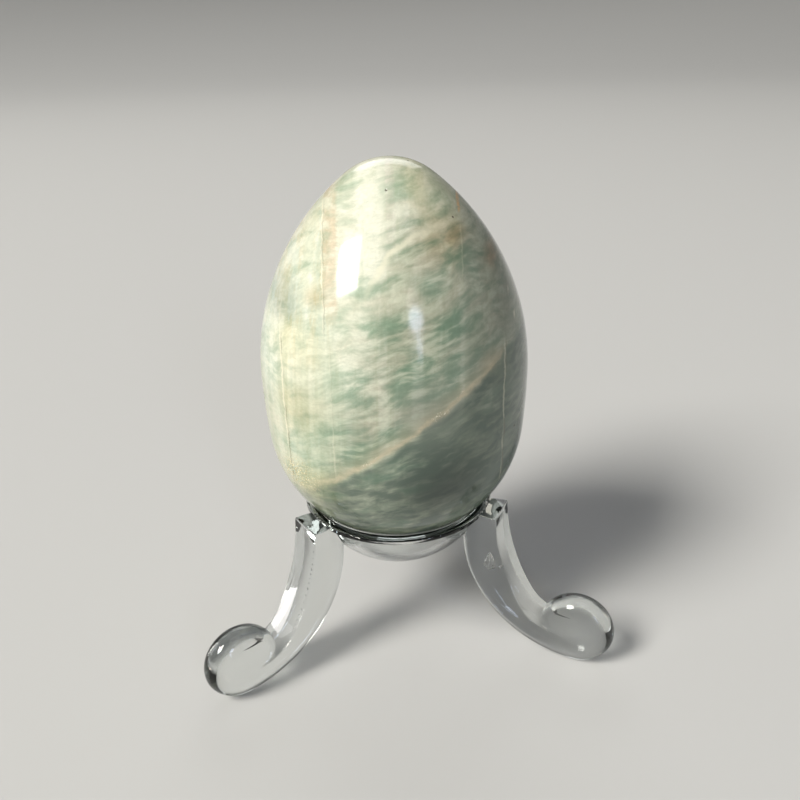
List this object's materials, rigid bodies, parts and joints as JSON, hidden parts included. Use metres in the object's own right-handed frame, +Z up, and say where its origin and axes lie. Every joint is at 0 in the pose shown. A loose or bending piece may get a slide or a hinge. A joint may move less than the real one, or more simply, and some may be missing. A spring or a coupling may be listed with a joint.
{
  "type": "decorative stone egg on a clear stand",
  "caption": "Polished stone egg standing point up in a clear acrylic stand, a shallow round dish on scrolled legs.",
  "frame": {"origin": "on the axis of the dish and egg, at the height of the table that the three feet stand on", "axes": "+Z up along the egg's axis, +Y towards the rear leg, +X to the right as the picture sees it"},
  "size_m": [0.066, 0.0585, 0.08],
  "materials": {
    "green_stone": "highly polished",
    "clear_acrylic": "clear, flame polished"
  },
  "bodies": {
    "stand": {"dish": "clear_acrylic", "leg_rear": "clear_acrylic", "leg_left": "clear_acrylic", "leg_right": "clear_acrylic"},
    "egg": {"stone_egg": "green_stone"}
  },
  "joints": [
    {"name": "egg_lift", "type": "slide", "parent": "stand", "child": "egg", "axis": [0, 0, 1], "range_m": [0, 0.04]}
  ]
}
